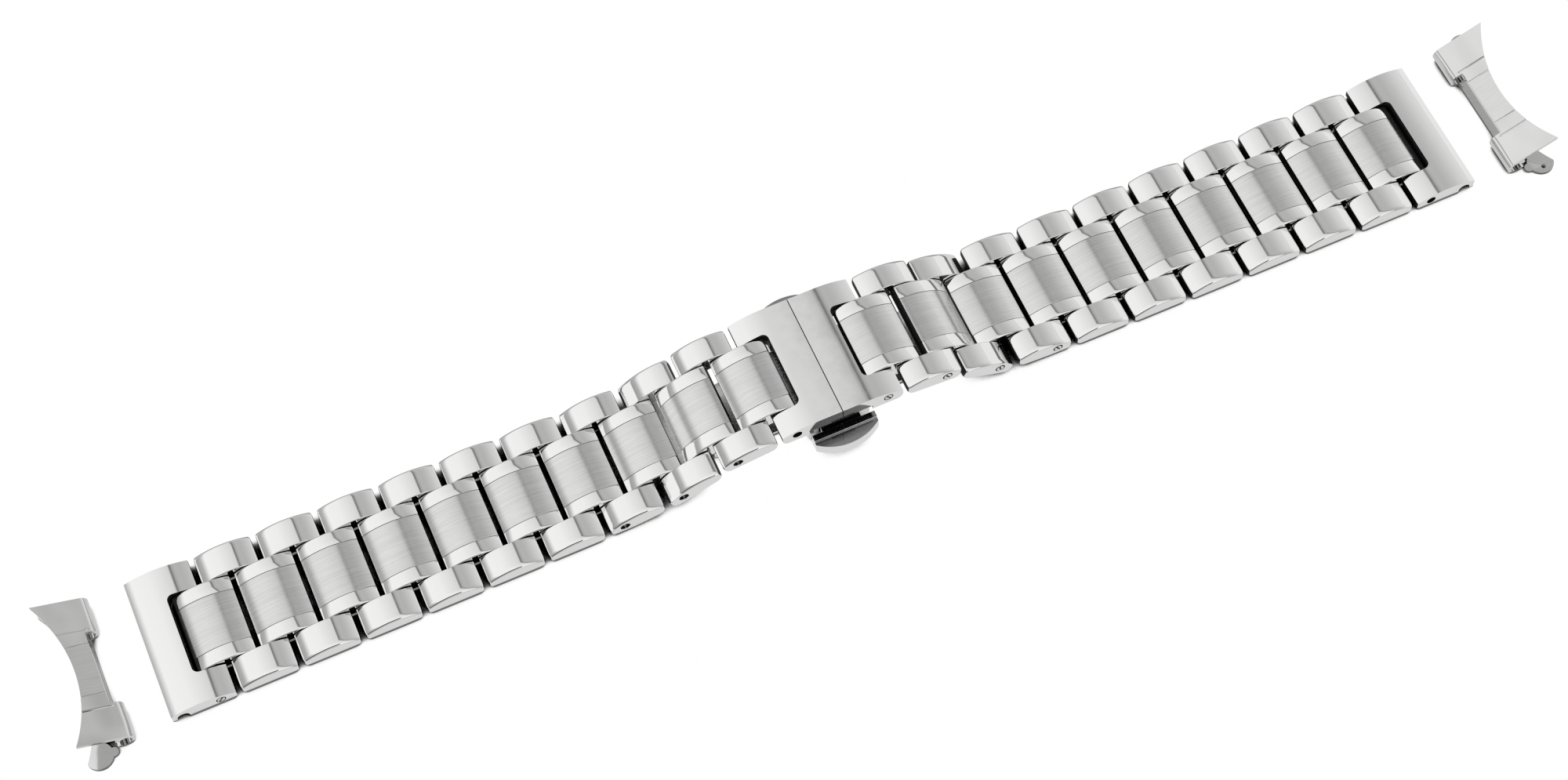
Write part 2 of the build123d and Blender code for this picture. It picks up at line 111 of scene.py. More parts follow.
# Degrees: turn of the screw slots, from where an edge counts as sharp, up to where it is flat
SCREW_SLOT_TURN, SHARP_ANGLE, KEPT_SHARP_ANGLE, FLAT_ANGLE = 35, 35, 28, 0.6

# How strongly the large faces of a piece lead the shading of its edges
EVEN_WEIGHT = 60

# How far a face has to look along an axis, of 1, to count as facing that way
SQUARE, LEANING, BUTTON_LEVEL = 0.8, 0.5, 0.7


# Building in the band's own planes


def width_at(link, width):
    """Width of a band feature at a link, counted outwards from the clasp."""
    at_clasp, at_watch = width
    return at_clasp + (at_watch - at_clasp) * link / OUTER_PAIRS


def side_plane(side, reach, height, slope=0.0):
    """Matrix of a side plane: x outwards along the band, y up, z across the band."""
    lean = radians(slope)
    along = Vector((side * cos(lean), 0, -sin(lean)))
    across = Vector((0, -side, 0))
    up = across.cross(along)
    turned = Matrix((along, up, across)).transposed().to_4x4()
    return Matrix.Translation((side * reach, 0, height)) @ turned


def link_planes(side, slopes):
    """Plane of each centre link at its inner pin, and of the watch end's pin."""
    drop_left = CLASP_RISE - sum(PITCH * sin(radians(slope)) for slope in slopes)
    flat = [0] * (OUTER_PAIRS - len(slopes))
    reach, height, planes = CLASP_PIN_REACH, CLASP_RISE + CROWN, []
    for slope in [degrees(asin(drop_left / PITCH)), *slopes, *flat]:
        planes.append(side_plane(side, reach, height, slope))
        reach += PITCH * cos(radians(slope))
        height -= PITCH * sin(radians(slope))
    return planes, side_plane(side, reach - PITCH + 2 * PIN_OFFSET, CROWN)


def piece(name, bm, plane, body, material, replaces=(), hidden=None):
    """Finish a bmesh in millimetres on a plane as a piece that rides on a body.

    Faces that hidden() picks, such as link ends, get a dull near-black metal: painted shade for the
    dark gaps between parts.
    """
    bmesh.ops.recalc_face_normals(bm, faces=bm.faces[:])
    for face in bm.faces:
        face.material_index = int(bool(hidden and hidden(face)))
    bmesh.ops.transform(bm, matrix=Matrix.Scale(MM, 4) @ plane, verts=bm.verts[:])
    mesh = bpy.data.meshes.new(name)
    bm.to_mesh(mesh)
    bm.free()
    made = bpy.data.objects.new(name, mesh)
    bpy.context.scene.collection.objects.link(made)
    mesh.materials.append(material)
    if hidden:
        mesh.materials.append(PAINTED_SHADE_STEEL)
    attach(made, body)
    if replaces:
        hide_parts(*replaces)
    return made


def ease(made, width, segments=EDGE_STEPS, limit=SHARP_ANGLE):
    """Break the sharp edges of a piece and shade it as one smooth metal surface."""
    made.data.polygons.foreach_set("use_smooth", [True] * len(made.data.polygons))
    if width:
        edge = made.modifiers.new("broken edges", "BEVEL")
        edge.width = width * MM
        edge.segments = segments
        edge.limit_method = "ANGLE"
        edge.angle_limit = radians(limit)
        edge.use_clamp_overlap = True
        edge.miter_outer = "MITER_ARC"
    even = made.modifiers.new("even shading", "WEIGHTED_NORMAL")
    even.mode = "FACE_AREA"
    even.weight = EVEN_WEIGHT
    even.keep_sharp = True


def link_end(face):
    """True for the end walls and feet of a link, which face the next link; these get painted shade.
    """
    return abs(face.normal.x) > SQUARE


def arch(bm, start, end, drop):
    """Top line of a link: a low arc that falls by a drop to both ends."""
    half = (end - start) / 2
    radius = (half**2 + drop**2) / (2 * drop)
    first = bm.verts.new((start, CROWN - drop, 0))
    bmesh.ops.spin(
        bm, geom=[first], cent=(start + half, CROWN - radius, 0), axis=(0, 0, -1),
        angle=2 * asin(half / radius), steps=ARCH_STEPS,
    )
    bm.verts.ensure_lookup_table()
    return bm.verts[:]


def close_outline(bm, line, corners):
    """Close a line of vertices into one face by way of more corners, and give the corners."""
    added = [bm.verts.new((*corner, 0)) for corner in corners]
    ring = [line[-1], *added, line[0]]
    for one, other in zip(ring, ring[1:]):
        bm.edges.new((one, other))
    bmesh.ops.contextual_create(bm, geom=bm.edges[:])
    return added


def round_corners(bm, corners, radius):
    """Round corners of a flat outline."""
    bmesh.ops.bevel(
        bm, geom=corners, offset=radius, offset_type="OFFSET", affect="VERTICES",
        segments=CORNER_STEPS, profile=0.5, material=-1, clamp_overlap=True,
    )


def link_side(start, drop, foot_radius):
    """Flat side of a link: a low arch over a flat sole with round feet."""
    bm = bmesh.new()
    end = start + LINK_LENGTH
    feet = close_outline(bm, arch(bm, start, end, drop), [(end, SOLE), (start, SOLE)])
    round_corners(bm, feet, foot_radius)
    return bm


def thicken(bm, near, far, roll=((0, 0),)):
    """Push the flat outline out into a slab between two offsets across the band.

    A roll lists how far from the far side each ring lies, and how much smaller it is.
    """
    xs = [v.co.x for v in bm.verts]
    middle = Vector(((min(xs) + max(xs)) / 2, 0, 0))
    half = Vector(((max(xs) - min(xs)) / 2, CROWN, 1))
    toward = 1 if far > near else -1
    bmesh.ops.translate(bm, vec=(0, 0, near), verts=bm.verts[:])
    front, here, drawn_in = bm.faces[:], near, 0.0
    for number, (back, inset) in enumerate(roll):
        behind = front
        grown = bmesh.ops.extrude_face_region(bm, geom=behind, use_keep_orig=True)["geom"]
        verts = [g for g in grown if isinstance(g, bmesh.types.BMVert)]
        moved = set(verts)
        faces = [g for g in grown if isinstance(g, bmesh.types.BMFace)]
        front = [face for face in faces if all(v in moved for v in face.verts)]
        # Only the near side keeps its face; the rings after it stay open.
        if number:
            bmesh.ops.delete(bm, geom=behind, context="FACES_ONLY")
        there = far - toward * back
        bmesh.ops.translate(bm, vec=(0, 0, there - here), verts=verts)
        shrink = Vector([(h - inset) / (h - drawn_in) for h in half[:2]] + [1])
        bmesh.ops.scale(bm, vec=shrink, space=Matrix.Translation(-middle), verts=verts)
        here, drawn_in = there, inset
    bmesh.ops.recalc_face_normals(bm, faces=bm.faces[:])
    return bm


def join(parts):
    """One bmesh that holds several."""
    whole = bmesh.new()
    for part in parts:
        mesh = bpy.data.meshes.new("part")
        part.to_mesh(mesh)
        part.free()
        whole.from_mesh(mesh)
        bpy.data.meshes.remove(mesh)
    return whole


def rod(place, radius, near, far, steps=ROD_STEPS):
    """Round bar across the band between two offsets."""
    bm = bmesh.new()
    bmesh.ops.create_cone(
        bm, cap_ends=True, segments=steps, radius1=radius, radius2=radius, depth=abs(far - near),
        matrix=Matrix.Translation((*place, (near + far) / 2)),
    )
    return bm


def brick(low, high, turn=0.0):
    """Plain block between two corners, turned about its own middle across the band."""
    low, high = Vector(low), Vector(high)
    bm = bmesh.new()
    bmesh.ops.create_cube(bm, size=1.0)
    bmesh.ops.scale(bm, vec=high - low, verts=bm.verts[:])
    bmesh.ops.rotate(bm, cent=(0, 0, 0), matrix=Matrix.Rotation(turn, 3, "Z"), verts=bm.verts[:])
    bmesh.ops.translate(bm, vec=(low + high) / 2, verts=bm.verts[:])
    return bm


def cut(bm, cutters):
    """Take cutters out of a solid, each on its own, and give the solid back."""
    def as_object(solid, name):
        bmesh.ops.recalc_face_normals(solid, faces=solid.faces[:])
        mesh = bpy.data.meshes.new(name)
        solid.to_mesh(mesh)
        solid.free()
        made = bpy.data.objects.new(name, mesh)
        bpy.context.scene.collection.objects.link(made)
        return made

    work = as_object(bm, "blank")
    for number, cutter in enumerate(cutters):
        tool = as_object(cutter, f"cutter_{number}")
        step = work.modifiers.new(f"cut_{number}", "BOOLEAN")
        step.operation = "DIFFERENCE"
        step.solver = "EXACT"
        step.object = tool
    bpy.context.view_layer.update()
    evaluated = work.evaluated_get(bpy.context.evaluated_depsgraph_get())
    mesh = bpy.data.meshes.new_from_object(evaluated)
    done = bmesh.new()
    done.from_mesh(mesh)
    bpy.data.meshes.remove(mesh)
    for used in [step.object for step in work.modifiers] + [work]:
        data = used.data
        bpy.data.objects.remove(used)
        bpy.data.meshes.remove(data)
    bmesh.ops.remove_doubles(done, verts=done.verts[:], dist=MERGE_GAP)
    return done


# Finishes: the usual run of a noise, a grain alike all ways, and the clouds on satin steel
NOISE_LOW, NOISE_HIGH = 0.3, 0.7
ALIKE = (1, 1, 1)
SATIN_LEAST, SATIN_MOST = 0.8, 1.25
CLOUD_PER_MM, CLOUD_HEIGHT = 0.5, 0.002
CLOUD_DARK, CLOUD_LIGHT, LIGHTEST = 0.88, 1.06, 0.95


class Finish:
    """A metal made of nodes on one principled shader, with short calls to add to it."""

    def __init__(self, name, colour, roughness):
        self.material = bpy.data.materials.new(name)
        self.material.use_nodes = True
        self.nodes = self.material.node_tree.nodes
        self.links = self.material.node_tree.links
        self.shader = self.nodes["Principled BSDF"]
        self.shader.inputs["Base Color"].default_value = (*colour, 1)
        self.shader.inputs["Metallic"].default_value = 1.0
        self.shader.inputs["Roughness"].default_value = roughness
        self.place = self.nodes.new("ShaderNodeTexCoord").outputs["Object"]
        self.normal = None

    def noise(self, per_mm, stretch=ALIKE, detail=3.0, turn=(0, 0, 0)):
        """Noise with about that many features in a millimetre, stretched by axis."""
        lie = self.nodes.new("ShaderNodeMapping")
        lie.inputs["Scale"].default_value = [per_mm / MM / s for s in stretch]
        lie.inputs["Rotation"].default_value = turn
        grain = self.nodes.new("ShaderNodeTexNoise")
        grain.inputs["Scale"].default_value = 1.0
        grain.inputs["Detail"].default_value = detail
        self.links.new(self.place, lie.inputs["Vector"])
        self.links.new(lie.outputs["Vector"], grain.inputs["Vector"])
        return grain.outputs["Fac"]

    def spread(self, noise, low, high):
        """The usual run of a noise taken to a range."""
        step = self.nodes.new("ShaderNodeMapRange")
        step.inputs["From Min"].default_value = NOISE_LOW
        step.inputs["From Max"].default_value = NOISE_HIGH
        step.inputs["To Min"].default_value = low
        step.inputs["To Max"].default_value = high
        self.links.new(noise, step.inputs["Value"])
        return step.outputs["Result"]

    def rough(self, noise, low, high):
        """Let the roughness run over a range with a noise."""
        self.links.new(self.spread(noise, low, high), self.shader.inputs["Roughness"])

    def tint(self, noise, dark, light):
        """Let the colour run between two with a noise."""
        ramp = self.nodes.new("ShaderNodeValToRGB")
        ramp.color_ramp.elements[0].color = (*dark, 1)
        ramp.color_ramp.elements[1].color = (*light, 1)
        self.links.new(self.spread(noise, 0.0, 1.0), ramp.inputs["Fac"])
        self.links.new(ramp.outputs["Color"], self.shader.inputs["Base Color"])

    def bump(self, noise, height):
        """Raise the surface with a noise, at most by a height in millimetres."""
        step = self.nodes.new("ShaderNodeBump")
        step.inputs["Strength"].default_value = 1.0
        step.inputs["Distance"].default_value = height * MM
        self.links.new(noise, step.inputs["Height"])
        if self.normal:
            self.links.new(self.normal, step.inputs["Normal"])
        self.normal = step.outputs["Normal"]
        self.links.new(self.normal, self.shader.inputs["Normal"])


def polished_finish():
    """Mirror-polished steel: a faint ripple from the wheel and very fine hairlines."""
    made = Finish("polished_steel", colour=(0.78, 0.78, 0.775), roughness=0.06)
    made.bump(made.noise(per_mm=0.16, detail=1.0), height=0.012)
    hair = made.noise(per_mm=9.0, stretch=(14, 1, 14), detail=2.0, turn=(0, 0, 0.5))
    made.bump(hair, height=0.00008)
    made.rough(made.noise(per_mm=0.8, detail=4.0), low=0.035, high=0.085)
    return made.material


def brushed_finish():
    """Steel brushed along the band, with long fine grain and a few deeper strokes."""
    made = Finish("brushed_steel", colour=(0.68, 0.68, 0.675), roughness=0.3)
    grain = made.noise(per_mm=22.0, stretch=(60, 1, 60), detail=4.0)
    strokes = made.noise(per_mm=9.0, stretch=(40, 1, 40), detail=3.0)
    made.tint(strokes, dark=(0.6, 0.6, 0.595), light=(0.69, 0.69, 0.685))
    made.bump(grain, height=0.003)
    made.bump(strokes, height=0.0014)
    made.rough(grain, low=0.15, high=0.21)
    return made.material


def sheet_finish():
    """Folded sheet: nearly polished, with the slight waves that the press leaves."""
    made = Finish("sheet_steel", colour=(0.66, 0.66, 0.655), roughness=0.13)
    made.bump(made.noise(per_mm=0.14, detail=1.0), height=0.8)
    grain = made.noise(per_mm=14.0, stretch=(30, 1, 30), detail=3.0)
    made.bump(grain, height=0.0004)
    made.rough(grain, low=0.09, high=0.17)
    return made.material


def satin_finish(name, colour, roughness, per_mm, height, stretch=ALIKE):
    """Plain satin steel with a grain of its own, for pressed and hidden pieces."""
    made = Finish(name, colour, roughness)
    grain = made.noise(per_mm, stretch=stretch, detail=4.0)
    cloud = made.noise(CLOUD_PER_MM, detail=3.0)
    made.bump(grain, height)
    made.bump(cloud, CLOUD_HEIGHT)
    made.rough(grain, low=SATIN_LEAST * roughness, high=SATIN_MOST * roughness)
    dark = [CLOUD_DARK * c for c in colour]
    light = [min(CLOUD_LIGHT * c, LIGHTEST) for c in colour]
    made.tint(cloud, dark, light)
    return made.material


POLISHED = polished_finish()
BRUSHED = brushed_finish()
SHEET_STEEL = sheet_finish()
# Dull near-black metal on link ends, inner walls and undersides: painted shade where parts lie
# close together
PAINTED_SHADE_STEEL = satin_finish(
    "painted_shade_steel", (0.045, 0.045, 0.045), roughness=0.6, per_mm=6.0, height=0.0002,
)
# Dark satin on the buttons' upward faces: painted dark reflection, the tops darker than the rest of
# each button
PAINTED_BUTTON_REFLECTION = satin_finish(
    "button_top_painted_reflection", (0.3, 0.3, 0.3), roughness=0.16, per_mm=8.0, height=0.0004,
    stretch=(20, 1, 20),
)
CLASP_STEEL = satin_finish(
    "clasp_steel", (0.72, 0.72, 0.715), roughness=0.24, per_mm=10.0, height=0.0015,
    stretch=(30, 1, 30),
)
PIN_STEEL = satin_finish(
    "pin_steel", (0.7, 0.7, 0.695), roughness=0.2, per_mm=12.0, height=0.0008,
    stretch=(1, 20, 1),
)
SPRING_STEEL = satin_finish(
    "spring_steel", (0.55, 0.55, 0.55), roughness=0.25, per_mm=12.0, height=0.0006,
)


# Links of the band


def dress_centre_link(word, number, plane, body):
    """Brushed block between its two polished strips."""
    link = number - 1
    block = width_at(link, BLOCK_WIDTH) / 2
    centre = width_at(link, CENTRE_WIDTH) / 2
    node = f"{word}_centre_link_{number}"

    def outline():
        return link_side(PIN_OFFSET - LINK_LENGTH / 2, CENTRE_END_DROP, CENTRE_FOOT_RADIUS)

    middle = thicken(outline(), -block + STRIP_SEAM / 2, block - STRIP_SEAM / 2)
    made = piece(
        f"{word}_block_{number}", middle, plane, body, BRUSHED, [node], link_end
    )
    ease(made, BLOCK_EDGE)
    strips = [
        thicken(outline(), turn * (block + STRIP_SEAM / 2), turn * centre, STRIP_ROLL)
        for turn in (1, -1)
    ]
    made = piece(
        f"{word}_strips_{number}", join(strips), plane, body, POLISHED, [node],
        link_end,
    )
    ease(made, STRIP_EDGE)


def slotted_pin(place, near, far):
    """Link pin with a screw slot across its far end."""
    toward = 1 if far > near else -1
    inner, outer = sorted((far - toward * SCREW_SLOT_DEPTH, far + toward * CUT_PAST))
    x, y = place
    slot = brick(
        (x - SCREW_SLOT_WIDTH / 2, y - CUT_PAST, inner),
        (x + SCREW_SLOT_WIDTH / 2, y + CUT_PAST, outer),
        turn=radians(SCREW_SLOT_TURN),
    )
    return cut(rod(place, PIN_RADIUS, near, far), [slot])


def dress_outer_pair(word, number, plane, body):
    """Two polished outer links, and their two pins."""
    link = number - 1
    outer = width_at(link + 0.5, BAND_WIDTH) / 2
    inner = width_at(link + 1, CENTRE_WIDTH) / 2 + SIDE_PLAY
    node = f"{word}_outer_links_{number}"
    removable = link < REMOVABLE_PAIRS
    start = PIN_OFFSET + LINK_GAP / 2
    turning = (PITCH, 0)
    blind = inner + BLIND_PIN_DEPTH
    sides = []
    for turn in (1, -1):
        outline = link_side(start, OUTER_END_DROP, OUTER_FOOT_RADIUS)
        slab = thicken(outline, turn * inner, turn * outer, LINK_ROLL)
        if removable:
            ends = turn * (inner - CUT_PAST), turn * (outer + CUT_PAST)
            slab = cut(slab, [rod(turning, PIN_RADIUS + PIN_RING, *ends)])
        sides.append(slab)
    made = piece(
        f"{word}_outer_pair_{number}", join(sides), plane, body, POLISHED, [node],
        link_end,
    )
    ease(made, OUTER_EDGE, segments=OUTER_EDGE_STEPS)
    held = rod((2 * PIN_OFFSET, 0), PIN_RADIUS, -blind + SIDE_PLAY, blind - SIDE_PLAY)
    if removable:
        free = slotted_pin(turning, SUNK_PIN_DEPTH - outer, outer)
    else:
        free = rod(turning, PIN_RADIUS, -blind + SIDE_PLAY, blind - SIDE_PLAY)
    pins = join([held, free])
    made = piece(
        f"{word}_link_pins_{number}", pins, plane, body, PIN_STEEL, [node]
    )
    ease(made, PIN_EDGE)


for word, side in SIDES.items():
    planes, _ = link_planes(side, SLOPES[word])
    for number, plane in enumerate(planes, 1):
        last = number > OUTER_PAIRS
        body = f"{word}_last_centre_link" if last else f"{word}_unit_{number}"
        dress_centre_link(word, number, plane, body)
        if not last:
            dress_outer_pair(word, number, plane, body)


# End links of the band: U-shaped, with a recess for the centre link


def arc_centre(one, middle, other):
    """Centre of the circle through three flat points."""
    (ax, ay), (bx, by), (cx, cy) = one, middle, other
    scale = 2 * (ax * (by - cy) + bx * (cy - ay) + cx * (ay - by))
    a, b, c = ax**2 + ay**2, bx**2 + by**2, cx**2 + cy**2
    return (
        (a * (by - cy) + b * (cy - ay) + c * (ay - by)) / scale,
        (a * (cx - bx) + b * (ax - cx) + c * (bx - ax)) / scale,
    )


def sweep_line(bm, start, centre, end, steps):
    """Arc of edges from a vertex round a centre to an end point."""
    first = Vector((start.co.x - centre[0], start.co.y - centre[1]))
    last = Vector((end[0] - centre[0], end[1] - centre[1]))
    made = bmesh.ops.spin(
        bm, geom=[start], cent=(*centre, 0), axis=(0, 0, -1), angle=abs(first.angle(last)),
        steps=steps,
    )
    return next(g for g in made["geom_last"] if isinstance(g, bmesh.types.BMVert))


def end_recess(start, end, half):
    """Cutter for the centre link's recess, with rounded inner corners."""
    bm = brick((min(start, end), 2 * SOLE, -half), (max(start, end), 2 * CROWN, half))
    upright = [
        edge for edge in bm.edges
        if all(abs(v.co.x - start) < SAME_PLACE for v in edge.verts)
        and abs(edge.verts[0].co.y - edge.verts[1].co.y) > CROWN
    ]
    bmesh.ops.bevel(
        bm, geom=upright, offset=RECESS_CORNER_RADIUS, offset_type="OFFSET", affect="EDGES",
        segments=CORNER_STEPS, profile=0.5, material=-1,
    )
    return bm


def inside_end_link(outer_half, outer_wall=None):
    """Picks the walls of an end link that face the recess, the seam or the next link, for painted
    shade.

    An outer wall is the place along the band of an end that stays polished.
    """
    def hidden(face):
        middle = face.calc_center_median()
        within = abs(middle.z) < outer_half - INNER_MARGIN
        if abs(face.normal.z) > LEANING:
            return within
        if face.normal.y < -LEANING:
            return within and middle.y > SOLE + WALL_MARGIN
        shown = outer_wall and middle.x > outer_wall - WALL_MARGIN
        return abs(face.normal.x) > SQUARE and not shown
    return hidden


def finish_end_link(word, end, plane, solid, hidden, pin):
    """Make pieces of the solid of an end link and of its pin, which share a body."""
    body = f"{word}_{end}_link"
    made = piece(
        f"{word}_{end}_u_link", solid, plane, body, POLISHED, [body], hidden
    )
    ease(made, END_LINK_EDGE, segments=END_LINK_EDGE_STEPS)
    made = piece(f"{word}_{end}_u_pin", pin, plane, body, PIN_STEEL, [f"{body}_pin"])
    ease(made, PIN_EDGE)


def dress_clasp_link(word, side):
    """Polished link between the band and the clasp blade."""
    plane = side_plane(side, 0, CLASP_RISE + CROWN)
    half = BAND_WIDTH[0] / 2
    under = SOLE + UNDERCUT_DEPTH
    arm_end = CLASP_PIN_REACH + PIN_OFFSET - LINK_GAP / 2
    recess_start = CLASP_PIN_REACH + PIN_OFFSET - LINK_LENGTH / 2 - RECESS_END_PLAY
    seam_radius = ((ARM_CREST_REACH - SEAM_HALF_GAP) ** 2 + SEAM_DROP**2) / (2 * SEAM_DROP)
    arm_radius = ((arm_end - ARM_CREST_REACH) ** 2 + OUTER_END_DROP**2) / (2 * OUTER_END_DROP)
    # The top falls a little to the seam, and in a low arc to the ends of the arms.
    bm = bmesh.new()
    first = bm.verts.new((SEAM_HALF_GAP, CROWN - SEAM_DROP, 0))
    crest = sweep_line(
        bm, first, (ARM_CREST_REACH, CROWN - seam_radius), (ARM_CREST_REACH, CROWN), SEAM_STEPS
    )
    last = sweep_line(
        bm, crest, (ARM_CREST_REACH, CROWN - arm_radius), (arm_end, CROWN - OUTER_END_DROP),
        ARM_STEPS,
    )
    foot, *_ = close_outline(bm, [first, last], [
        (arm_end, SOLE), (UNDERCUT_LENGTH, SOLE), (UNDERCUT_LENGTH, under), (SEAM_HALF_GAP, under)
    ])
    round_corners(bm, [foot], OUTER_FOOT_RADIUS)
    thicken(bm, -half, half)
    eye = (BLADE_PIN_REACH, under)
    ears = []
    for turn in (1, -1):
        ear = rod(eye, BLADE_EYE_RADIUS, turn * POCKET_HALF, turn * (POCKET_HALF + EAR_THICKNESS))
        ears.append(cut(ear, [rod(eye, PIN_RADIUS + EYE_PLAY, -half, half)]))
    cutters = [
        end_recess(recess_start, arm_end + CUT_PAST, CENTRE_WIDTH[0] / 2 + END_LINK_PLAY),
        brick(
            (-CUT_PAST, SOLE - CUT_PAST, -POCKET_HALF),
            (recess_start + POCKET_OVERLAP, CROWN - CLASP_SKIN, POCKET_HALF),
        ),
        rod((CLASP_PIN_REACH, 0), PIN_RADIUS + PIN_RING, -half - CUT_PAST, half + CUT_PAST),
    ]
    for turn in (1, -1):
        depths = sorted((turn * (half - SIDE_SLOT_DEPTH), turn * (half + CUT_PAST)))
        slot = brick(
            (SEAM_HALF_GAP - SIDE_SLOT_LENGTH, under - SIDE_SLOT_RADIUS, depths[0]),
            (SEAM_HALF_GAP + SIDE_SLOT_LENGTH, under + SIDE_SLOT_RADIUS, depths[1]),
        )
        ends = [
            edge for edge in slot.edges
            if abs(edge.verts[0].co.z - edge.verts[1].co.z) > SIDE_SLOT_DEPTH / 2
        ]
        bmesh.ops.bevel(
            slot, geom=ends, offset=SLOT_ROUNDING * SIDE_SLOT_RADIUS, offset_type="OFFSET",
            affect="EDGES", segments=SLOT_END_STEPS, profile=0.5, material=-1,
        )
        cutters.append(slot)
    solid = join([cut(bm, cutters), *ears])
    pin = slotted_pin((CLASP_PIN_REACH, 0), SUNK_PIN_DEPTH - half, half)
    finish_end_link(word, "clasp", plane, solid, inside_end_link(half), pin)


def dress_watch_link(word, plane):
    """Polished link at the watch with its lip and the open channel behind it."""
    half = BAND_WIDTH[1] / 2
    start = LINK_GAP / 2 - PIN_OFFSET
    end = WATCH_LINK_REACH - PIN_OFFSET
    recess_end = LINK_LENGTH / 2 - PIN_OFFSET + RECESS_END_PLAY
    low, crest, lip = (
        (start, CROWN - OUTER_END_DROP), ((start + end) / 2, CROWN), (end, CROWN - WATCH_END_DROP)
    )
    bm = bmesh.new()
    first = bm.verts.new((*low, 0))
    last = sweep_line(bm, first, arc_centre(low, crest, lip), lip, WATCH_TOP_STEPS)
    *_, foot = close_outline(bm, [first, last], [(end, SOLE), (start, SOLE)])
    round_corners(bm, [foot], OUTER_FOOT_RADIUS)
    thicken(bm, -half, half)
    x, y = channel = (end - LIP_THICKNESS - CHANNEL_RADIUS, SOLE + CHANNEL_RADIUS)
    past, below = half + CUT_PAST, SOLE - CUT_PAST
    cutters = [
        rod(channel, CHANNEL_RADIUS, -past, past, CHANNEL_STEPS),
        brick((x - CHANNEL_RADIUS, below, -past), (x + CHANNEL_RADIUS, y, past)),
        brick((x, below, -past), (end + CUT_PAST, SOLE + LIP_FOOT_HEIGHT, past)),
        end_recess(recess_end, start - CUT_PAST, CENTRE_WIDTH[1] / 2 + END_LINK_PLAY),
        rod((0, 0), PIN_RADIUS + PIN_RING, -past, past),
    ]
    pin = slotted_pin((0, 0), half - SUNK_PIN_DEPTH, -half)
    finish_end_link(word, "watch", plane, cut(bm, cutters), inside_end_link(half, end), pin)


for word, side in SIDES.items():
    dress_clasp_link(word, side)
    _, watch_plane = link_planes(side, SLOPES[word])
    dress_watch_link(word, watch_plane)


# Coil spring between the buttons, in two halves, each wound towards its own button


def dress_spring(word, toward):
    """Half of the button spring, wound from the middle of the clasp towards one button."""
    bm = bmesh.new()
    bmesh.ops.create_circle(
        bm, cap_ends=True, segments=WIRE_STEPS, radius=SPRING_WIRE / 2,
        matrix=Matrix.Translation((SPRING_RADIUS, 0, SPRING_HEIGHT)),
    )
    bmesh.ops.spin(
        bm, geom=bm.verts[:] + bm.edges[:] + bm.faces[:], cent=(0, 0, SPRING_HEIGHT),
        axis=(0, 1, 0), dvec=(0, toward * SPRING_HALF / SPRING_STEPS, 0),
        angle=toward * pi * SPRING_TURNS, steps=SPRING_STEPS,
    )
    bmesh.ops.holes_fill(bm, edges=[edge for edge in bm.edges if edge.is_boundary])
    made = piece(
        f"{word}_spring_half", bm, Matrix.Identity(4), "clasp_base", SPRING_STEEL,
        ["button_spring"],
    )
    ease(made, 0)
    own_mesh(made)


dress_spring("near", -1)
dress_spring("far", 1)


# Pieces that keep their own solids get their finish and broken edges


def dress_node(name, material, width):
    """Give a kept solid its finish, welded, with its edges broken."""
    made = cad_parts[name]
    made.data.materials.clear()
    made.data.materials.append(material)
    weld = made.modifiers.new("weld", "WELD")
    weld.merge_threshold = WELD_GAP * MM
    flat = made.modifiers.new("flat faces", "DECIMATE")
    flat.decimate_type = "DISSOLVE"
    flat.angle_limit = radians(FLAT_ANGLE)
    ease(made, width, limit=KEPT_SHARP_ANGLE)


# Finish of each kept solid, and the width of its broken edges in millimetres
KEPT = {
    "clasp_base": (CLASP_STEEL, BLADE_EDGE),
    "base_hinge_pins": (PIN_STEEL, FINE_EDGE),
    "catch_box": (CLASP_STEEL, BOX_EDGE),
    "near_button": (POLISHED, BUTTON_EDGE),
    "far_button": (POLISHED, BUTTON_EDGE),
}
for word in SIDES:
    KEPT[f"{word}_blade"] = (CLASP_STEEL, BLADE_EDGE)
    KEPT[f"{word}_blade_pin"] = (PIN_STEEL, FINE_EDGE)
    KEPT[f"{word}_catch"] = (CLASP_STEEL, FINE_EDGE)
    KEPT[f"{word}_end_piece"] = (SHEET_STEEL, SHEET_EDGE)
for name, (material, width) in KEPT.items():
    dress_node(name, material, width)


def finish_faces(name, material, chosen):
    """Give the faces of a kept solid that chosen() picks a finish of their own."""
    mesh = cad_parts[name].data
    mesh.materials.append(material)
    for face in mesh.polygons:
        face.material_index = int(chosen(face))


# The buttons' upward faces get the dark satin, a painted dark reflection
for name in ("near_button", "far_button"):
    finish_faces(name, PAINTED_BUTTON_REFLECTION, lambda face: face.normal.z > BUTTON_LEVEL)
for word in SIDES:
    finish_faces(
        f"{word}_end_piece", BRUSHED,
        lambda face: face.normal.z > LEANING and abs(face.center.y) < END_PIECE_MIDDLE * MM,
    )


# Studio, in metres: pale floor, soft overhead panel with one darker side, cards, and a plain sky
WHITE = (1, 1, 1, 1)
FLOOR_HALF = (3.0, 3.0)
PANEL_HALF, PANEL_HEIGHT = (1.4, 1.2), 0.845

# Brightness of the floor to light and in the metal, and of the sky by height
FLOOR_TO_LIGHT, FLOOR_TO_MIRROR = 0.6, 0.82
SKY_LEVELS = ((0.05, 0.2), (0.5, 0.75))

# Up to how many millimetres the band shades the floor or lies on it, and the rays that tell
FLOOR_COVER_HEIGHT, FLOOR_CONTACT, FLOOR_COVER_RAYS = 4.0, 0.7, 16

# Share of open sky over the floor at which it is darkest, and from which it is plain
FLOOR_COVERED, FLOOR_OPEN = 0.32, 0.58

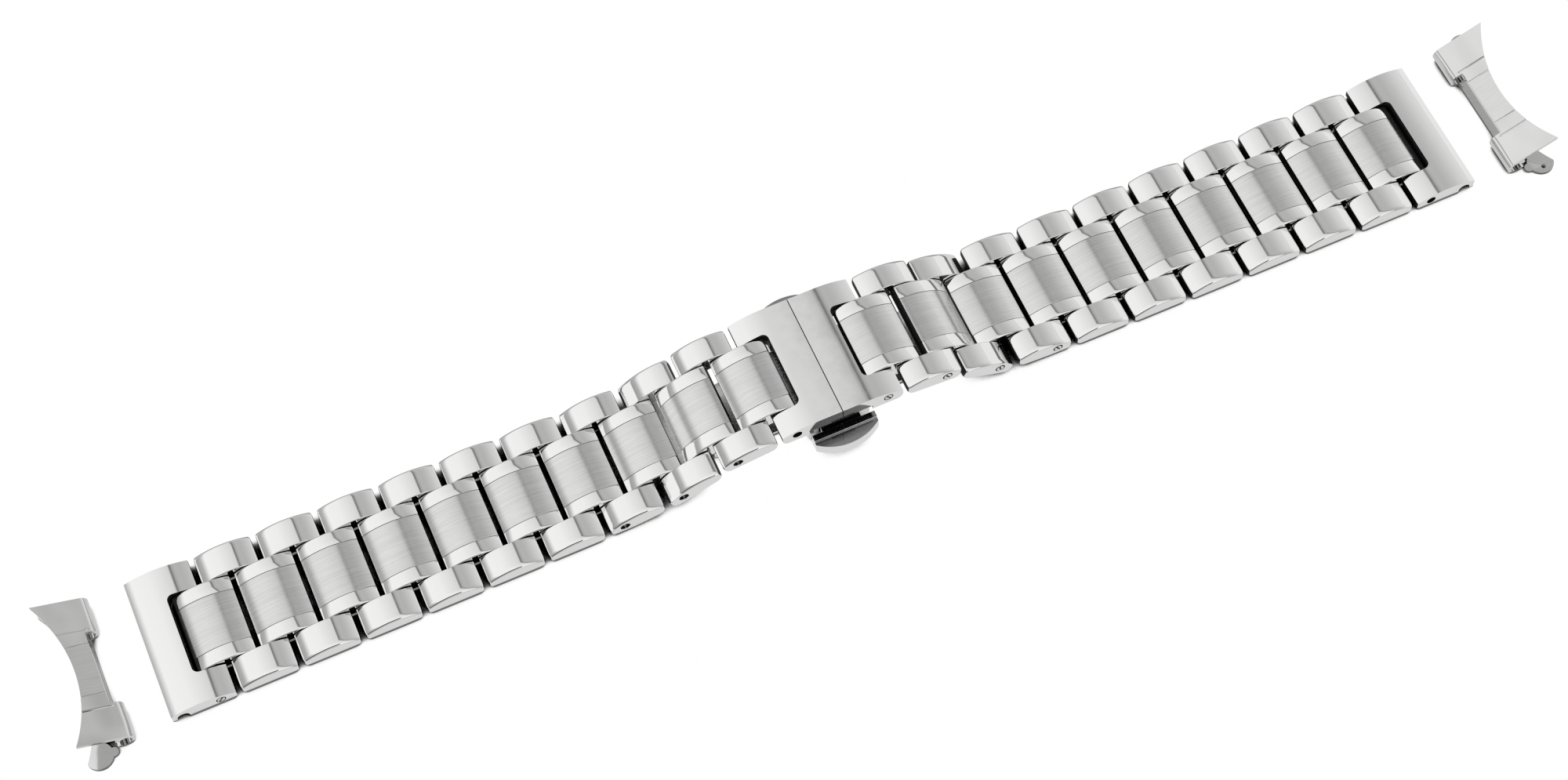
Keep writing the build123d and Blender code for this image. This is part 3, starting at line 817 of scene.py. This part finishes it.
# Panel: how far its edge bends, between which places, and its brightness from place to place
PANEL_BEND, PANEL_BEND_START, PANEL_BEND_FINISH = 0.6, 0.36, -0.5
PANEL_LEVELS = (
    (-1.4, 0.4), (-1.0, 0.55), (-0.75, 1.12), (-0.3, 1.08), (0.0, 0.93), (0.158, 0.83), (0.18, 0.2),
    (0.205, 0.25), (0.24, 0.48), (0.3, 0.57), (0.45, 0.56), (0.6, 0.62), (0.9, 0.76), (1.4, 0.9),
)

# Cards: name, brightness, half sizes, degrees turned about an axis, and place
CARDS = (
    ("left_card", 1.1, (0.33, 1.2), (90, "Y"), (-1.42, 0, 0.5)),
    ("right_card", 1.0, (0.33, 1.2), (90, "Y"), (1.42, 0, 0.5)),
    ("near_light", 1.1, (0.25, 0.12), (65, "X"), (0.27, -0.75, 0.36)),
    ("front_opening", 0.06, (0.77, 0.32), (0, "X"), (-0.61, -0.56, PANEL_HEIGHT - 0.005)),
)


def glow(name, strength):
    """Plain white emitting material for a studio surface."""
    made = bpy.data.materials.new(name)
    made.use_nodes = True
    nodes = made.node_tree.nodes
    nodes.clear()
    light = nodes.new("ShaderNodeEmission")
    light.inputs["Color"].default_value = WHITE
    light.inputs["Strength"].default_value = strength
    out = nodes.new("ShaderNodeOutputMaterial")
    made.node_tree.links.new(light.outputs["Emission"], out.inputs["Surface"])
    return made


def floor_material():
    """Pale floor: plain white to the eye and in the metal, with painted shade only close under the
    band.

    From below it is clear, also for the soles that lie on it.
    """
    made = bpy.data.materials.new("floor")
    made.use_nodes = True
    nodes, links = made.node_tree.nodes, made.node_tree.links
    nodes.clear()
    rays = nodes.new("ShaderNodeLightPath")

    def larger(one, other):
        step = nodes.new("ShaderNodeMath")
        step.operation = "MAXIMUM"
        links.new(one, step.inputs[0])
        links.new(other, step.inputs[1])
        return step.outputs["Value"]

    mirrored = larger(rays.outputs["Is Glossy Ray"], rays.outputs["Is Transmission Ray"])
    seen = larger(mirrored, rays.outputs["Is Camera Ray"])
    tone = nodes.new("ShaderNodeMapRange")
    tone.inputs["To Min"].default_value = 1.0
    tone.inputs["To Max"].default_value = FLOOR_TO_MIRROR
    links.new(mirrored, tone.inputs["Value"])
    open_sky = nodes.new("ShaderNodeAmbientOcclusion")
    open_sky.samples = FLOOR_COVER_RAYS
    open_sky.inputs["Distance"].default_value = FLOOR_COVER_HEIGHT * MM
    bright = nodes.new("ShaderNodeMapRange")
    bright.interpolation_type = "SMOOTHSTEP"
    bright.inputs["From Min"].default_value = FLOOR_COVERED
    bright.inputs["From Max"].default_value = FLOOR_OPEN
    links.new(open_sky.outputs["AO"], bright.inputs["Value"])
    links.new(tone.outputs["Result"], bright.inputs["To Max"])
    plain = nodes.new("ShaderNodeEmission")
    links.new(bright.outputs["Result"], plain.inputs["Strength"])
    matt = nodes.new("ShaderNodeBsdfDiffuse")
    matt.inputs["Color"].default_value = (FLOOR_TO_LIGHT, FLOOR_TO_LIGHT, FLOOR_TO_LIGHT, 1)
    mix = nodes.new("ShaderNodeMixShader")
    links.new(seen, mix.inputs["Fac"])
    links.new(matt.outputs["BSDF"], mix.inputs[1])
    links.new(plain.outputs["Emission"], mix.inputs[2])
    touching = nodes.new("ShaderNodeMath")
    touching.operation = "LESS_THAN"
    touching.inputs[1].default_value = FLOOR_CONTACT * MM
    links.new(rays.outputs["Ray Length"], touching.inputs[0])
    from_below = nodes.new("ShaderNodeNewGeometry").outputs["Backfacing"]
    below = nodes.new("ShaderNodeMixShader")
    links.new(larger(from_below, touching.outputs["Value"]), below.inputs["Fac"])
    links.new(mix.outputs["Shader"], below.inputs[1])
    links.new(nodes.new("ShaderNodeBsdfTransparent").outputs["BSDF"], below.inputs[2])
    out = nodes.new("ShaderNodeOutputMaterial")
    links.new(below.outputs["Shader"], out.inputs["Surface"])
    return made


def stage_plane(name, half, place, material):
    """Flat studio surface of two half sizes, turned and moved to its place by a matrix."""
    bm = bmesh.new()
    bmesh.ops.create_grid(bm, x_segments=1, y_segments=1, size=1.0)
    bmesh.ops.scale(bm, vec=(*half, 1), verts=bm.verts[:])
    bmesh.ops.transform(bm, matrix=place, verts=bm.verts[:])
    mesh = bpy.data.meshes.new(name)
    bm.to_mesh(mesh)
    bm.free()
    mesh.materials.append(material)
    made = bpy.data.objects.new(name, mesh)
    bpy.context.scene.collection.objects.link(made)
    return made


def panel_material():
    """Overhead panel: white, a shade less towards its edge, then a grey card."""
    made = glow("panel", 1.0)
    start, finish = -PANEL_HALF[0], PANEL_HALF[0]
    nodes, links = made.node_tree.nodes, made.node_tree.links
    parts = nodes.new("ShaderNodeSeparateXYZ")
    links.new(nodes.new("ShaderNodeTexCoord").outputs["Object"], parts.inputs["Vector"])
    across = nodes.new("ShaderNodeMapRange")
    across.inputs["From Min"].default_value = start
    across.inputs["From Max"].default_value = finish
    bend = nodes.new("ShaderNodeMapRange")
    bend.inputs["From Min"].default_value = PANEL_BEND_START
    bend.inputs["From Max"].default_value = PANEL_BEND_FINISH
    bend.inputs["To Max"].default_value = PANEL_BEND
    links.new(parts.outputs["Y"], bend.inputs["Value"])
    straight = nodes.new("ShaderNodeMath")
    straight.operation = "SUBTRACT"
    links.new(parts.outputs["X"], straight.inputs[0])
    links.new(bend.outputs["Result"], straight.inputs[1])
    links.new(straight.outputs["Value"], across.inputs["Value"])
    ramp = nodes.new("ShaderNodeValToRGB")
    marks = ramp.color_ramp.elements
    while len(marks) > 1:
        marks.remove(marks[-1])
    for number, (reach, level) in enumerate(PANEL_LEVELS):
        spot = (reach - start) / (finish - start)
        mark = marks[0] if number == 0 else marks.new(spot)
        mark.position = spot
        mark.color = (level, level, level, 1)
    links.new(across.outputs["Result"], ramp.inputs["Fac"])
    links.new(ramp.outputs["Color"], nodes["Emission"].inputs["Color"])
    return made


def sky():
    """Even surroundings that fall off towards the horizon."""
    world = bpy.data.worlds.new("studio")
    bpy.context.scene.world = world
    world.use_nodes = True
    nodes, links = world.node_tree.nodes, world.node_tree.links
    back = nodes["Background"]
    back.inputs["Strength"].default_value = 1.0
    parts = nodes.new("ShaderNodeSeparateXYZ")
    links.new(nodes.new("ShaderNodeTexCoord").outputs["Generated"], parts.inputs["Vector"])
    ramp = nodes.new("ShaderNodeValToRGB")
    marks = ramp.color_ramp.elements
    for mark, (height, level) in zip(marks, SKY_LEVELS):
        mark.position = height
        mark.color = (level, level, level, 1)
    links.new(parts.outputs["Z"], ramp.inputs["Fac"])
    rays = nodes.new("ShaderNodeLightPath")
    mix = nodes.new("ShaderNodeMix")
    mix.data_type = "RGBA"
    mix.inputs["B"].default_value = WHITE
    links.new(rays.outputs["Is Camera Ray"], mix.inputs["Factor"])
    links.new(ramp.outputs["Color"], mix.inputs["A"])
    links.new(mix.outputs["Result"], back.inputs["Color"])


stage_plane("floor", FLOOR_HALF, Matrix.Identity(4), floor_material())
above = Matrix.Translation((0, 0, PANEL_HEIGHT))
panel = stage_plane("panel", PANEL_HALF, above, panel_material())
panel.visible_camera = False
for name, strength, half, (turn, axis), place in CARDS:
    turned = Matrix.Translation(place) @ Matrix.Rotation(radians(turn), 4, axis)
    card = stage_plane(name, half, turned, glow(name, strength))
    card.visible_camera = False
sky()

# Camera at the angle of the photograph, with its lens in pixels of the photograph
FOCAL_PIXELS, WIDTH_PIXELS, SENSOR_WIDTH = 3671.12, 2000, 36.0
NEAREST, FARTHEST = 0.01, 20.0
eye = Vector((-58.383, -160.013, 328.665)) * MM
right = Vector((0.915797, -0.399172, -0.044478))
down = Vector((-0.373953, -0.807012, -0.457045))
forward = Vector((0.146546, 0.435193, -0.888331))
lens = bpy.data.cameras.new("camera")
lens.sensor_width = SENSOR_WIDTH
lens.lens = FOCAL_PIXELS / WIDTH_PIXELS * SENSOR_WIDTH
lens.clip_start = NEAREST
lens.clip_end = FARTHEST
camera = bpy.data.objects.new("camera", lens)
facing = Matrix((right, -down, -forward)).transposed().to_4x4()
camera.matrix_world = Matrix.Translation(eye) @ facing
bpy.context.scene.collection.objects.link(camera)
bpy.context.scene.camera = camera
bpy.context.scene.view_settings.view_transform = "Standard"
